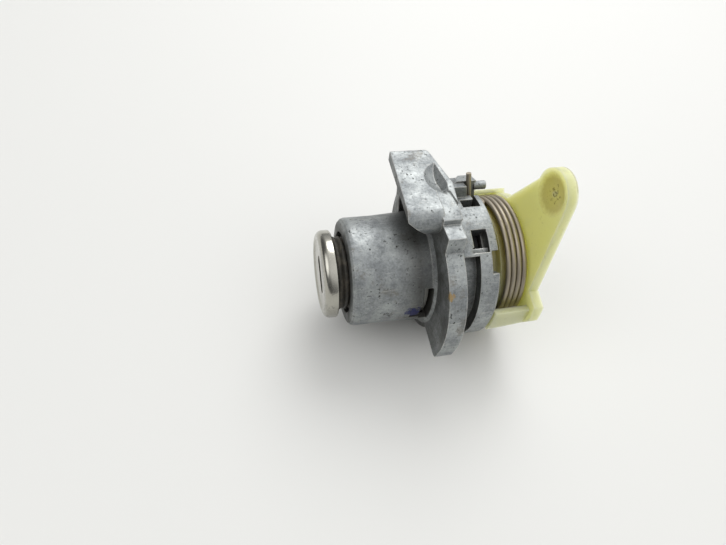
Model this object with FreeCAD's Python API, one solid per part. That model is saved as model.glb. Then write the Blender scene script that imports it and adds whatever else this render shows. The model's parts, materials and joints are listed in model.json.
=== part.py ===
import FreeCAD, Part
import math
import os

# Car door lock cylinder: a die-cast housing with a barrel, a flange and a wing, a key plug with wafers in a
# turning sleeve, and a moulded lever with its return spring at the rear.
#
# Millimetres. X runs along the lock's axis towards the rear, from the flange's front face. Z is up, square
# to the wing's outer face. An angle is counted about X from +Z towards -Y.

V = FreeCAD.Vector
ORIGIN = V(0, 0, 0)
X_AXIS = V(1, 0, 0)

# Clearances
run_fit = 0.05           # radial, a shaft turning in its hole
slide_fit = 0.1          # a plate sliding in its slot
free_gap = 0.3           # moving faces that never touch
close_fit = 0.02         # pins and rings that are pressed or clipped on
over = 1.0               # how far a cutting tool reaches past the body
weld = 0.3               # how far joined shapes run into one another

# Barrel
barrel_length = 15.8
barrel_front_r = 10.9
barrel_base_r = 11.35
barrel_land_x = -9.0
barrel_edge_round = 1.2
barrel_edge_flats = 3
barrel_root_round = 0.8
bore_r = 8.25

# Flange
flange_thick = 3.4
rim_r = 16.8
rim_start_angle = 33
lobe_mid_r = 18.2
lobe_mid_angle = 65
lobe_r = 19.2
lobe_end_angle = 104
lobe_corner_y = 18.2
lobe_bottom_z = -7.4
lobe_foot_rise = 0.8
lobe_corner_round = 1.2
hub_r = 13.1
crest_r = 19.0
crest_rear_x = 3.6
crest_end_angle = 15.5
block_top_z = 17.35
block_start_y = -5.3
block_end_y = -8.7
block_foot_r = 17.5
block_foot_angle = 31
far_rim_angle = -48
far_rim_mid_r = 18.6
far_rim_mid_angle = -78

# Wing, the raised lip that reaches forward from the flange's top edge
wing_rise = 0.3
wing_top_z = crest_r + wing_rise
wing_step = 0.7
wing_far_y = 12.95
wing_near_y = -5.2
wing_reach_far = 5.4
wing_reach_near = 6.3
wing_tip_thick = 1.2
wing_root_z = 13.0
wing_nose_round = 2.85
wing_step_x = 0.45
wing_step_y = 2.2
wing_heel = ((3.0, 1.2), (3.5, -2.0))
wing_rear_far_x = 2.1
wing_rear_near_x = 4.2
wing_rear_near_y = 3.3
wing_corner_round = 0.9
web_thick = 2.3
web_reach_low = 1.7
web_reach_top = 3.4
web_bottom_z = 3.0

# Dished clearance beside the wing, with a ridge left along the rear edge
scoop_sphere_r = 8.0
scoop_rim_r = 4.8
scoop_x = 4.0
scoop_y = 4.6
ridge_line = ((2.2, 10.5), (3.15, 3.4), (2.4, -1.0))
ridge_slope = 1.0

# Collar behind the flange
collar_r = 15.4
collar_inner_r = 12.3
collar_rear_x = 10.8
pocket_floor_r = 13.4
lip_x = 7.15
pocket_start_angle = 36
pocket_end_angle = 128
far_pocket_start_angle = -60
floor_thick = 0.4
small_window_x = 6.4
small_window_length = 2.8
small_window_angles = (-10, -2)
slit_length = 0.7
large_window_x = 6.2
large_window_length = 3.0
large_window_angles = (17.5, 30.5)
sill_angle = 3.5
sill_lap = 0.5
sill_depth = 0.8
notch_depth = 1.3
notch_angles = (33, 49)
clip_groove_depth = 1.0

# Spring lug on the collar: a low wall, and a taller block with a finger on its far half
lug_angle = -19
lug_near_y = -1.5
lug_far_y = 3.0
lug_top_r = 17.5
lug_rear_x = 8.0
lug_rear_lean = 0.4
lug_root = 1.0
lug_block_near_y = 0.3
lug_block_rise = 0.4
lug_block_x = 5.7
lug_block_far_x = 7.9
lug_block_rear_x = 10.6
lug_chamfer = 0.5
lug_chamfer_length = 1.1
finger_r = 0.85
finger_drop = 1.3
finger_inset = 0.5
finger_end_x = 12.8

# Key plug and keyway, turned as one about the axis
keyway_angle = -52
key_width = 2.6
key_height = 7.6
keyway_end_x = 2.4
plug_r = 6.45
plug_head_r = 8.2
plug_rear_x = 3.4
tail_r = 4.0
tail_flat = 3.2
tail_end_x = 22.4
tail_chamfer = 0.4

# Face cap
cap_r = 8.8
cap_front_x = -20.5
cap_depth = 2.65
cap_wall = 0.5
cap_bead_r = 1.35
cap_bead_flats = 4
cap_dish = 0.3
cap_dish_slope = 0.35
cap_rear_chamfer = 0.3
cap_lip = 1.5

# Ribbed seal behind the cap
seal_r = 7.35
seal_rib_depth = 0.5
seal_ribs = 3
seal_rib_share = 0.55
seal_rear_x = -13.2

# Shutter behind the keyway's mouth
flap_thick = 0.45
flap_overlap = 0.15
flap_pin_r = 0.3
flap_eye_r = 0.6
flap_pin_extra = 1.0
flap_wire = 0.16
flap_wire_flats = 4
flap_spring_turns = 3
flap_spring_sides = 8
flap_spring_pitch = 0.184
flap_spring_leg = 1.4
flap_spring_room = 1.2

# Sleeve around the plug
sleeve_front_x = -12.8
sleeve_rear_x = 4.2
wafer_groove_r = 7.2

# Wafers and their springs
wafer_count = 6
wafer_pitch = 2.2
wafer_first_x = -10.8
wafer_thick = 1.0
wafer_width = 5.6
wafer_rise = 0.6
wafer_travel = 0.7
wafer_ear_width = 1.4
wafer_ear_height = 1.1
wafer_spring_r = 0.5
wafer_spring_wire = 0.2
wafer_spring_length = 3.4
wafer_spring_turns = 3
wafer_spring_sides = 6
wafer_spring_squash = 0.8

# Detent shoe and its ring, in the slot at the barrel's root
shoe_angle = 94
shoe_spread = 10
shoe_spare_angle = 4
shoe_front_x = -4.1
shoe_length = 1.9
shoe_top_r = 10.9
shoe_tip_depth = 0.45
shelf_r = 8.95
shelf_length = 1.4
ring_x = -1.5
ring_width = 0.7
ring_thick = 0.8
ring_gap_half = 14
slot_front_x = -2.1
slot_rear_x = -0.4
slot_angles = (62, 109)
plug_turn_limit = 70

# Clutch ring
clutch_x = 4.3
clutch_thick = 4.4
dog_inner_r = 7.1
dog_outer_r = 9.3
dog_length = 4.6
dog_half_angle = 16
dog_angles = (60, 240)

# Retaining clip
clip_x = 8.85
clip_thick = 0.45
clip_inner_r = 11.3
clip_gap_half = 7
clip_eye_angle = 4
clip_eye_r = 0.45

# Lever
drum_front_x = 9.6
drum_neck_r = 11.0
drum_step_x = 12.4
drum_step_length = 0.5
drum_r = 12.0
drum_wall = 1.4
plate_x = 18.3
plate_thick = 2.0
plate_disc_r = 13.4
lever_hub_r = 6.8
lever_hub_front_x = 12.0
rib_half_thick = 0.7
boss_y = -5.6
boss_z = 23.2
boss_r = 4.6
arm_left_root = (6.5, 9.8)
arm_left_top = (-1.05, 22.9)
dish_r = 3.85
dish_depth = 0.9
pip_r = 0.75
pip_height = 0.5
near_tab_angles = (81.5, 104)
near_tab_root_angle = 98
near_tab_inner_r = 14.5
near_tab_r = 15.8
near_ear_root_r = 13.9
near_ear_root_angle = 69.9
near_ear_r = 16.8
near_ear_angles = (76.9, 90)
top_tab_angles = (-72, -42)
top_tab_thick = 0.85

# Return spring
wire_r = 0.5
coil_r = 12.8
coil_pitch = 1.1
coil_full_turns = 4
coil_end_gap = 0.12
coil_sides = 28          # straight runs in one turn
wire_sides = 8           # flats round the wire
leg_x = 9.4
leg_lean = 0.85
leg_top_r = 19.7
rear_leg_r = 15.0
leg_bend_r = 1.1
bend_runs = 4            # straight runs in one bend

# Washer and circlip on the plug's tail
washer_r = 7.0
washer_thick = 0.6
circlip_r = 5.8
circlip_thick = 0.6
circlip_groove_r = 3.3
circlip_gap_angle = 90
circlip_gap_half = 28


def polar(r, angle):
    a = math.radians(angle)
    return V(0, -r * math.sin(a), r * math.cos(a))


def at(x, r, angle):
    p = polar(r, angle)
    return V(x, p.y, p.z)


def turned(shape, angle):
    out = shape.copy()
    out.rotate(ORIGIN, X_AXIS, angle)
    return out


def moved(shape, x):
    out = shape.copy()
    out.translate(V(x, 0, 0))
    return out


def rod(r, x0, x1):
    return Part.makeCylinder(r, x1 - x0, V(x0, 0, 0), X_AXIS)


def tube(r_out, r_in, x0, x1):
    return rod(r_out, x0, x1).cut(rod(r_in, x0 - over, x1 + over))


def block(x0, x1, y0, y1, z0, z1):
    return Part.makeBox(x1 - x0, y1 - y0, z1 - z0, V(x0, y0, z0))


def face_of(edges):
    return Part.Face(Part.Wire(Part.__sortEdges__(edges)))


def turned_profile(points):
    """Solid of revolution about X from (x, r) points."""
    corners = [V(x, 0, r) for x, r in points]
    return Part.Face(Part.makePolygon(corners + corners[:1])).revolve(ORIGIN, X_AXIS, 360)


def sector(r_in, r_out, x0, x1, angles):
    """Ring segment between two angles."""
    a0, a1 = angles
    mid = (a0 + a1) / 2
    edges = [Part.Arc(polar(r_out, a0), polar(r_out, mid), polar(r_out, a1)).toShape(),
             Part.LineSegment(polar(r_out, a1), polar(r_in, a1)).toShape(),
             Part.Arc(polar(r_in, a1), polar(r_in, mid), polar(r_in, a0)).toShape(),
             Part.LineSegment(polar(r_in, a0), polar(r_out, a0)).toShape()]
    return moved(face_of(edges).extrude(V(x1 - x0, 0, 0)), x0)


def rounded(shape, radius, wanted):
    edges = [e for e in shape.Edges if wanted(e)]
    return shape.makeFillet(radius, edges) if edges else shape


def near_point(edge, point, reach=0.3):
    return edge.CenterOfMass.distanceToPoint(point) < reach


def wire(points, radius, flats, up):
    """Wire of a regular section along a run of points, with mitred joints."""
    along = (points[1] - points[0]).normalize()
    side = along.cross(up).normalize()
    rise = side.cross(along)
    ring = []
    for k in range(flats):
        a = 2 * math.pi * (k + 0.5) / flats
        ring.append(points[0] + side * (radius * math.cos(a)) + rise * (radius * math.sin(a)))
    section = Part.makePolygon(ring + ring[:1])
    return Part.makePolygon(points).makePipeShell([section], True, False, 1)


def bend(before, corner, after, radius, runs):
    """Points of an arc that rounds a corner, from one leg to the other."""
    a = (before - corner).normalize()
    b = (after - corner).normalize()
    half = math.acos(max(-1, min(1, a * b))) / 2
    centre = corner + (a + b).normalize() * (radius / math.sin(half))
    p = corner + a * (radius / math.tan(half)) - centre
    q = corner + b * (radius / math.tan(half)) - centre
    sweep = math.pi - 2 * half
    points = []
    for k in range(runs + 1):
        t = sweep * k / runs
        points.append(centre + (p * math.sin(sweep - t) + q * math.sin(t)) * (1 / math.sin(sweep)))
    return points


def polygon(points):
    return Part.Face(Part.makePolygon(points + points[:1]))


def lines_through(points):
    return [Part.LineSegment(p, q).toShape() for p, q in zip(points, points[1:])]


def flange_outline():
    """Crest beside the wing, stepped block, near lobe, hub and far lobe, from the top round the near side."""
    top_z = wing_top_z - wing_step
    crest_y = math.sqrt(crest_r ** 2 - top_z ** 2)
    foot_z = lobe_bottom_z + lobe_foot_rise
    hub_y = math.sqrt(hub_r ** 2 - foot_z ** 2)
    far_top = V(0, wing_far_y, top_z)
    crest_start = V(0, crest_y, top_z)
    crest_end = polar(crest_r, crest_end_angle)
    rim_start = polar(rim_r, rim_start_angle)
    near_lobe = polar(lobe_r, lobe_end_angle)
    far_lobe = polar(lobe_r, -lobe_end_angle)
    far_rim = polar(lobe_mid_r, far_rim_angle)
    near_hub = V(0, -hub_y, foot_z)
    far_hub = V(0, hub_y, foot_z)
    edges = lines_through([far_rim, far_top, crest_start])
    edges.append(Part.Arc(crest_start, polar(crest_r, 0), crest_end).toShape())
    edges += lines_through([crest_end, V(0, block_start_y, block_top_z), V(0, block_end_y, block_top_z),
                            polar(block_foot_r, block_foot_angle), rim_start])
    edges.append(Part.Arc(rim_start, polar(lobe_mid_r, lobe_mid_angle), near_lobe).toShape())
    edges += lines_through([near_lobe, V(0, -lobe_corner_y, lobe_bottom_z), near_hub])
    edges.append(Part.Arc(near_hub, V(0, 0, -hub_r), far_hub).toShape())
    edges += lines_through([far_hub, V(0, lobe_corner_y, lobe_bottom_z), far_lobe])
    edges.append(Part.Arc(far_lobe, polar(far_rim_mid_r, far_rim_mid_angle), far_rim).toShape())
    return face_of(edges)


def rear_line_x(y):
    """The wing's rear edge leans forward towards the far end."""
    share = (y - wing_rear_near_y) / (wing_far_y - wing_rear_near_y)
    return wing_rear_near_x + (wing_rear_far_x - wing_rear_near_x) * share


def flange():
    plate = flange_outline().extrude(V(flange_thick, 0, 0))
    corners = [V(flange_thick / 2, side * lobe_corner_y, lobe_bottom_z) for side in (-1, 1)]
    plate = rounded(plate, lobe_corner_round, lambda e: any(near_point(e, c) for c in corners))
    # the rear face follows the wing's rear edge
    past_y = wing_far_y + over
    past_x = wing_rear_near_x + over
    trim = polygon([V(wing_rear_near_x, wing_rear_near_y, 0), V(rear_line_x(past_y), past_y, 0),
                    V(past_x, past_y, 0), V(past_x, wing_rear_near_y, 0)])
    trim.translate(V(0, 0, barrel_base_r))
    plate = plate.cut(trim.extrude(V(0, 0, wing_top_z)))
    start = -math.degrees(math.acos((wing_top_z - wing_step) / crest_r))
    crest = sector(hub_r, crest_r, flange_thick / 2, crest_rear_x, (start, crest_end_angle))
    return plate.fuse(crest)


def wing():
    """Wedge section along X, a round nose across it and the plan outline, each cut from the last."""
    tip_z = wing_top_z - wing_tip_thick
    front_x = -wing_reach_near - over
    rear_x = wing_rear_near_x + over
    wedge = polygon([V(front_x, wing_near_y, wing_top_z), V(rear_x, wing_near_y, wing_top_z),
                     V(rear_x, wing_near_y, wing_root_z), V(0, wing_near_y, wing_root_z),
                     V(-wing_reach_near, wing_near_y, tip_z), V(front_x, wing_near_y, tip_z)])
    body = wedge.extrude(V(0, wing_far_y - wing_near_y, 0))
    below = wing_root_z - over
    nose_y = wing_near_y + wing_nose_round
    nose_low = V(0, nose_y, wing_top_z - 2 * wing_nose_round)
    nose_top = V(0, nose_y, wing_top_z)
    edges = lines_through([nose_top, V(0, wing_far_y, wing_top_z), V(0, wing_far_y, below),
                           V(0, nose_y, below), nose_low])
    edges.append(Part.Arc(nose_low, V(0, wing_near_y, wing_top_z - wing_nose_round), nose_top).toShape())
    across = moved(face_of(edges).extrude(V(rear_x - front_x, 0, 0)), front_x)
    heel = [V(x, y, 0) for x, y in wing_heel]
    plan = polygon([V(-wing_reach_near, wing_near_y, 0), V(wing_step_x, wing_near_y, 0),
                    V(wing_step_x, wing_step_y, 0)] + heel +
                   [V(wing_rear_near_x, wing_rear_near_y, 0), V(wing_rear_far_x, wing_far_y, 0),
                    V(-wing_reach_far, wing_far_y, 0)])
    height = wing_top_z + over
    corner = V(wing_rear_far_x, wing_far_y, height / 2)
    outline = rounded(plan.extrude(V(0, 0, height)), wing_corner_round, lambda e: near_point(e, corner))
    return body.common(across).common(outline).fuse(web())


def web():
    """Gusset under the wing's far end, leaning forward towards the wing."""
    y = wing_far_y - web_thick
    tip_z = wing_top_z - wing_tip_thick
    root_x = flange_thick / 2
    side = polygon([V(root_x, y, web_bottom_z), V(root_x, y, tip_z), V(-web_reach_top, y, tip_z),
                    V(-web_reach_low, y, web_bottom_z)])
    return side.extrude(V(0, web_thick, 0))


def scoop():
    """Round dish, stopped by a slanted wall so that a ridge stays along the rear edge."""
    depth = math.sqrt(scoop_sphere_r ** 2 - scoop_rim_r ** 2)
    ball = Part.makeSphere(scoop_sphere_r, V(scoop_x, scoop_y, wing_top_z + depth))
    lift = V(over * ridge_slope, 0, over)
    front_x = scoop_x - 2 * scoop_rim_r
    outline = [V(x, y, wing_top_z) + lift for x, y in ridge_line]
    outline += [V(front_x, y, wing_top_z) + lift for y in (ridge_line[-1][1], ridge_line[0][1])]
    drop = V(-scoop_rim_r * ridge_slope, 0, -scoop_rim_r)
    return ball.common(polygon(outline).extrude(drop))


def barrel():
    """Tapered barrel with a straight land for its seat, a rounded front edge and a small root fillet."""
    centre_x = -barrel_length + barrel_edge_round
    centre_r = barrel_front_r - barrel_edge_round
    round_ = []
    for k in range(barrel_edge_flats + 1):
        a = math.pi / 2 * k / barrel_edge_flats
        x = centre_x - barrel_edge_round * math.cos(a)
        round_.append((x, centre_r + barrel_edge_round * math.sin(a)))
    body = turned_profile([(-barrel_length, bore_r)] + round_ +
                          [(barrel_land_x, barrel_front_r), (0, barrel_base_r),
                           (flange_thick, barrel_base_r), (flange_thick, bore_r)])
    root_r = barrel_base_r + barrel_root_round
    inner_r = barrel_base_r - weld
    root = turned_profile([(-barrel_root_round, inner_r), (0, root_r), (weld, root_r), (weld, inner_r)])
    return body.fuse(root)


def collar():
    wall = tube(collar_r, collar_inner_r, flange_thick - weld, collar_rear_x)
    outside = collar_r + over
    through = collar_inner_r - over
    wall = wall.fuse(tube(collar_inner_r + weld, bore_r, flange_thick - weld, flange_thick + floor_thick))
    for angles in ((pocket_start_angle, pocket_end_angle), (-pocket_end_angle, far_pocket_start_angle)):
        wall = wall.cut(sector(pocket_floor_r, outside, flange_thick, lip_x, angles))
    small_window_end = small_window_x + small_window_length
    large_window_end = large_window_x + large_window_length
    wall = wall.cut(sector(through, outside, small_window_x, small_window_end, small_window_angles))
    wall = wall.cut(sector(through, outside, large_window_x, large_window_end, large_window_angles))
    sill = (large_window_angles[1] - sill_lap, large_window_angles[1] + sill_angle)
    wall = wall.cut(sector(collar_r - sill_depth, outside, large_window_x - weld, large_window_end, sill))
    wall = wall.cut(sector(through, outside, collar_rear_x - notch_depth, collar_rear_x + over, notch_angles))
    # the spring's leg slides in here from the rear, and a slit joins its slot to the small window
    half = math.degrees(math.asin((wire_r + slide_fit) / collar_inner_r))
    leg_slot = (leg_angle() - half, leg_angle() + half)
    slot_start = leg_centre_x(collar_r) - wire_r - slide_fit
    wall = wall.cut(sector(through, outside, slot_start, collar_rear_x + over, leg_slot))
    wall = wall.cut(sector(through, outside, small_window_end, small_window_end + slit_length,
                           (leg_slot[0], small_window_angles[1])))
    groove = tube(collar_inner_r + clip_groove_depth, through, clip_x - slide_fit / 2,
                  clip_x + clip_thick + slide_fit / 2)
    return wall.cut(groove)


def lug():
    """Upright before it is turned to its angle."""
    foot = collar_r - lug_root
    x0 = flange_thick - weld
    wall = polygon([V(x0, lug_near_y, foot), V(lug_rear_x + lug_rear_lean, lug_near_y, foot),
                    V(lug_rear_x, lug_near_y, lug_top_r), V(x0, lug_near_y, lug_top_r)])
    body = wall.extrude(V(0, lug_far_y - lug_near_y, 0))
    y = lug_block_near_y
    top = lug_top_r + lug_block_rise
    side = polygon([V(lug_block_x, y, foot), V(lug_block_rear_x, y, foot), V(lug_block_rear_x, y, top),
                    V(lug_block_x + lug_chamfer_length, y, top), V(lug_block_x, y, top - lug_chamfer)])
    # the block's front face slants back towards its far side
    front_x = lug_block_x - over
    past_y = lug_far_y + over
    slant = polygon([V(lug_block_x, y, 0), V(lug_block_far_x, lug_far_y, 0), V(lug_block_far_x, past_y, 0),
                     V(front_x, past_y, 0), V(front_x, y, 0)])
    body = body.fuse(side.extrude(V(0, lug_far_y - y, 0)).cut(slant.extrude(V(0, 0, top + over))))
    root = V(lug_block_rear_x - weld, y + finger_inset, top - finger_drop)
    finger = Part.makeCylinder(finger_r, finger_end_x - root.x, root, X_AXIS)
    return turned(body.fuse(finger), lug_angle)


def detent_openings():
    """Slot at the barrel's root, the shoe's pocket beside it and the ring's groove inside the bore."""
    inside = bore_r - weld
    outside = hub_r + over
    slot = sector(inside, outside, slot_front_x, slot_rear_x, slot_angles)
    spread = shoe_spread + math.degrees(slide_fit / shoe_top_r)
    pocket = sector(inside, outside, shoe_front_x - slide_fit, slot_front_x + weld,
                    (shoe_angle - spread, shoe_angle + spread))
    groove = tube(shelf_r + run_fit + ring_thick + free_gap, inside, ring_x - slide_fit,
                  ring_x + ring_width + slide_fit)
    return slot, pocket, groove


def housing():
    body = barrel().fuse(flange()).fuse(wing()).fuse(collar()).fuse(lug())
    body = body.cut(scoop())
    body = body.cut(rod(bore_r, -barrel_length - over, flange_thick + over))
    for opening in detent_openings():
        body = body.cut(opening)
    return body.removeSplitter()


def keyway(width, height, x0, x1):
    """Slot with round ends, upright before it is turned to the keyway's angle."""
    r = width / 2
    slot = block(x0, x1, -r, r, r - height / 2, height / 2 - r)
    for z in (r - height / 2, height / 2 - r):
        slot = slot.fuse(Part.makeCylinder(r, x1 - x0, V(x0, 0, z), X_AXIS))
    return slot.removeSplitter()


def face_cap():
    """Thin pressed cup with a fat round rim, closed over the plug's head."""
    x0 = cap_front_x
    x1 = cap_front_x + cap_depth
    face_r = cap_r - cap_bead_r
    profile = [(x0 + cap_dish, 0), (x0 + cap_dish, face_r - cap_dish_slope)]
    for k in range(cap_bead_flats + 1):
        a = math.pi / 2 * k / cap_bead_flats
        profile.append((x0 + cap_bead_r * (1 - math.cos(a)), face_r + cap_bead_r * math.sin(a)))
    profile += [(x1 - cap_rear_chamfer, cap_r), (x1, cap_r - cap_rear_chamfer), (x1, 0)]
    head = rod(plug_head_r + run_fit, x0 + cap_wall + cap_dish, x1 - cap_wall)
    mouth = rod(cap_r - cap_lip, x1 - cap_wall - over, x1 + over)
    cap = turned_profile(profile).cut(head).cut(mouth)
    cap = cap.cut(keyway(key_width, key_height, x0 - over, x0 + cap_depth / 2))
    return turned(cap, keyway_angle)


def head_front_x():
    return cap_front_x + cap_wall + cap_dish + run_fit


def flap_pin_y():
    return key_width / 2 + flap_eye_r - slide_fit


def flap_pin_x():
    return head_front_x() + flap_eye_r + slide_fit


def wafer_x(index):
    return wafer_first_x + wafer_pitch * index


def wafer_side(index):
    return 1 if index % 2 == 0 else -1


def wafer_blank(rise, radius, width):
    """Slice of the plug's circle, moved up by the rise."""
    slice_ = Part.makeCylinder(radius, wafer_thick, V(-wafer_thick / 2, 0, rise), X_AXIS)
    return slice_.common(block(-wafer_thick, wafer_thick, -width / 2, width / 2, -2 * radius, 2 * radius))


def spring_floor_z():
    return -wafer_spring_length


def wafer(index):
    body = wafer_blank(wafer_rise, plug_r - run_fit, wafer_width)
    half = key_width / 2 + run_fit
    body = body.cut(block(-wafer_thick, wafer_thick, -half, half, wafer_rise - key_height / 2 - free_gap,
                          wafer_rise + key_height / 2 - slide_fit))
    side = wafer_width / 2
    ear = block(-wafer_thick / 2, wafer_thick / 2, side - weld, side + wafer_ear_width, 0, wafer_ear_height)
    body = body.fuse(ear).removeSplitter()
    if wafer_side(index) < 0:
        body = turned(body, 180)
    return turned(moved(body, wafer_x(index)), keyway_angle)


def wafer_spring(index):
    """Small coil under the wafer's ear."""
    centre_y = (wafer_width + wafer_ear_width + slide_fit) / 2
    steps = wafer_spring_turns * wafer_spring_sides
    low = spring_floor_z() + wafer_spring_wire / 2 + close_fit
    rise = wafer_spring_length - wafer_spring_wire - 2 * close_fit
    points = []
    for step in range(steps + 1):
        a = 2 * math.pi * step / wafer_spring_sides
        x = wafer_spring_squash * wafer_spring_r * math.cos(a)
        points.append(V(x, centre_y + wafer_spring_r * math.sin(a), low + rise * step / steps))
    half = wafer_spring_wire / 2
    square = [V(0, -half, -half), V(0, half, -half), V(0, half, half), V(0, -half, half), V(0, -half, -half)]
    section = Part.makePolygon(square)
    section.rotate(ORIGIN, V(0, 0, 1), 90 + 180 / wafer_spring_sides)
    section.translate(points[0])
    coil = Part.makePolygon(points).makePipeShell([section], True, False, 1)
    if wafer_side(index) < 0:
        coil = turned(coil, 180)
    return turned(moved(coil, wafer_x(index)), keyway_angle)


def wafer_slot(index):
    """Room for a wafer, its ear and its spring in the plug."""
    half = wafer_thick / 2 + slide_fit / 2
    side = wafer_width / 2 + slide_fit
    cut = block(-half, half, -side, side, -2 * plug_r, 2 * plug_r)
    ear_side = wafer_width / 2 + wafer_ear_width + slide_fit
    cut = cut.fuse(block(-half, half, 0, ear_side, spring_floor_z(), wafer_ear_height + wafer_travel))
    if wafer_side(index) < 0:
        cut = turned(cut, 180)
    return moved(cut, wafer_x(index))


def plug():
    head_x = head_front_x()
    neck_x = cap_front_x + cap_depth - cap_wall - run_fit
    root_x = plug_rear_x - weld
    tail = turned_profile([(root_x, 0), (root_x, tail_r), (tail_end_x - tail_chamfer, tail_r),
                           (tail_end_x, tail_r - tail_chamfer), (tail_end_x, 0)])
    flats_x = (plug_rear_x + clutch_x) / 2
    side = tail_r + over
    flats = block(flats_x, tail_end_x + over, -side, side, -tail_flat, tail_flat)
    tail = tail.common(rod(side, 0, flats_x).fuse(flats))
    body = rod(plug_head_r, head_x, neck_x).fuse(rod(plug_r, head_x, plug_rear_x)).fuse(tail)
    body = body.cut(keyway(key_width, key_height, head_x - over, keyway_end_x))
    for index in range(wafer_count):
        body = body.cut(wafer_slot(index))
    # pocket where the flap swings in beside the keyway
    leaf_y = key_width / 2 + flap_overlap + slide_fit
    half = key_height / 2 + flap_overlap + slide_fit
    pocket_x = flap_pin_x() + flap_pin_y() + leaf_y + run_fit
    eye_y = flap_pin_y() + flap_eye_r + slide_fit
    body = body.cut(block(head_x - over, pocket_x, -leaf_y, eye_y, -half, half))
    hole_start = V(flap_pin_x(), flap_pin_y(), -half - flap_pin_extra)
    body = body.cut(Part.makeCylinder(flap_pin_r + close_fit, 2 * (half + flap_pin_extra), hole_start))
    groove_x = circlip_x()
    groove = tube(tail_r + over, circlip_groove_r, groove_x - close_fit, groove_x + circlip_thick + close_fit)
    return turned(body.cut(groove).removeSplitter(), keyway_angle)


def shutter_flap():
    x = flap_pin_x()
    y = flap_pin_y()
    x0 = head_front_x() + slide_fit
    half = key_height / 2 + flap_overlap
    leaf = block(x0, x0 + flap_thick, -key_width / 2 - flap_overlap, y, -half, half)
    flap = leaf.fuse(Part.makeCylinder(flap_eye_r - run_fit, 2 * half, V(x, y, -half)))
    flap = flap.cut(Part.makeCylinder(flap_pin_r + run_fit, 4 * half, V(x, y, -2 * half)))
    room = flap_spring_room / 2
    flap = flap.cut(block(x - over, x + over, y - flap_eye_r, y + over, -room, room))
    return turned(flap.removeSplitter(), keyway_angle)


def shutter_pin():
    half = key_height / 2 + flap_overlap + flap_pin_extra
    return turned(Part.makeCylinder(flap_pin_r, 2 * half, V(flap_pin_x(), flap_pin_y(), -half)), keyway_angle)


def shutter_spring():
    """Fine torsion coil round the pin, with one leg along the pocket's wall."""
    r = flap_pin_r + close_fit + slide_fit
    centre = V(flap_pin_x(), flap_pin_y(), 0)
    middle = flap_spring_turns / 2
    steps = flap_spring_turns * flap_spring_sides
    points = [centre + V(flap_spring_leg, r, -flap_spring_pitch * middle)]
    for step in range(steps + 1):
        turn = step / flap_spring_sides
        a = 2 * math.pi * turn
        points.append(centre + V(r * math.sin(a), r * math.cos(a), flap_spring_pitch * (turn - middle)))
    return turned(wire(points, flap_wire / 2, flap_wire_flats, V(0, 0, 1)), keyway_angle)


def neck_seal():
    """Rubber ring with ribs, between the cap and the sleeve."""
    x0 = cap_front_x + cap_depth + close_fit
    pitch = (seal_rear_x - x0) / seal_ribs
    points = [(x0, plug_r + run_fit)]
    for rib in range(seal_ribs):
        start = x0 + rib * pitch
        crest = start + pitch * seal_rib_share
        points += [(start, seal_r), (crest, seal_r), (crest, seal_r - seal_rib_depth)]
        points.append((start + pitch, seal_r - seal_rib_depth))
    points.append((seal_rear_x, plug_r + run_fit))
    return turned_profile(points)


def sleeve():
    """Turning sleeve with two long grooves for the wafer tips and a ring groove for the detent's tip."""
    body = tube(bore_r - run_fit, plug_r + run_fit, sleeve_front_x, sleeve_rear_x)
    half = wafer_width / 2 + slide_fit
    first = wafer_x(0) - wafer_thick
    last = wafer_x(wafer_count - 1) + wafer_thick
    body = body.cut(turned(block(first, last, -half, half, -wafer_groove_r, wafer_groove_r), keyway_angle))
    reach = plug_turn_limit + shoe_spread + shoe_spare_angle
    r = bore_r - shoe_tip_depth - free_gap
    groove = sector(r, bore_r + over, shoe_front_x - slide_fit, shoe_front_x + shoe_length + slide_fit,
                    (shoe_angle - reach, shoe_angle + reach))
    return body.cut(groove).removeSplitter()


def detent_shoe():
    spread = (shoe_angle - shoe_spread, shoe_angle + shoe_spread)
    x1 = shoe_front_x + shoe_length
    body = sector(bore_r - shoe_tip_depth, shoe_top_r, shoe_front_x, x1, spread)
    shelf = sector(bore_r + run_fit, shelf_r, x1 - weld, x1 + shelf_length, spread)
    return body.fuse(shelf).removeSplitter()


def open_ring(r_out, r_in, x0, x1, gap_angle, gap_half):
    return sector(r_in, r_out, x0, x1, (gap_angle + gap_half, gap_angle + 360 - gap_half))


def detent_ring():
    r = shelf_r + run_fit
    return open_ring(r + ring_thick, r, ring_x, ring_x + ring_width, shoe_angle + 180, ring_gap_half)


def clutch_ring():
    x0 = clutch_x
    x1 = clutch_x + clutch_thick
    body = rod(collar_inner_r - free_gap, x0, x1)
    for angle in dog_angles:
        spread = (angle - dog_half_angle, angle + dog_half_angle)
        body = body.fuse(sector(dog_inner_r, dog_outer_r, x1 - weld, x1 + dog_length, spread))
    flat = tail_flat + run_fit
    hole = rod(tail_r + run_fit, x0 - over, x1 + over)
    flats = block(x0 - over, x1 + over, -2 * tail_r, 2 * tail_r, -flat, flat)
    return body.cut(hole.common(turned(flats, keyway_angle))).removeSplitter()


def retaining_clip():
    """Snap ring in the collar's groove, open where the spring's leg passes."""
    r_out = collar_inner_r + clip_groove_depth - run_fit
    ring = open_ring(r_out, clip_inner_r, clip_x, clip_x + clip_thick, leg_angle(), clip_gap_half)
    eye_angle = clip_gap_half + clip_eye_angle
    for side in (-1, 1):
        eye = at(clip_x - over, (r_out + clip_inner_r) / 2, leg_angle() + side * eye_angle)
        ring = ring.cut(Part.makeCylinder(clip_eye_r, clip_thick + 2 * over, eye, X_AXIS))
    return ring


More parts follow.
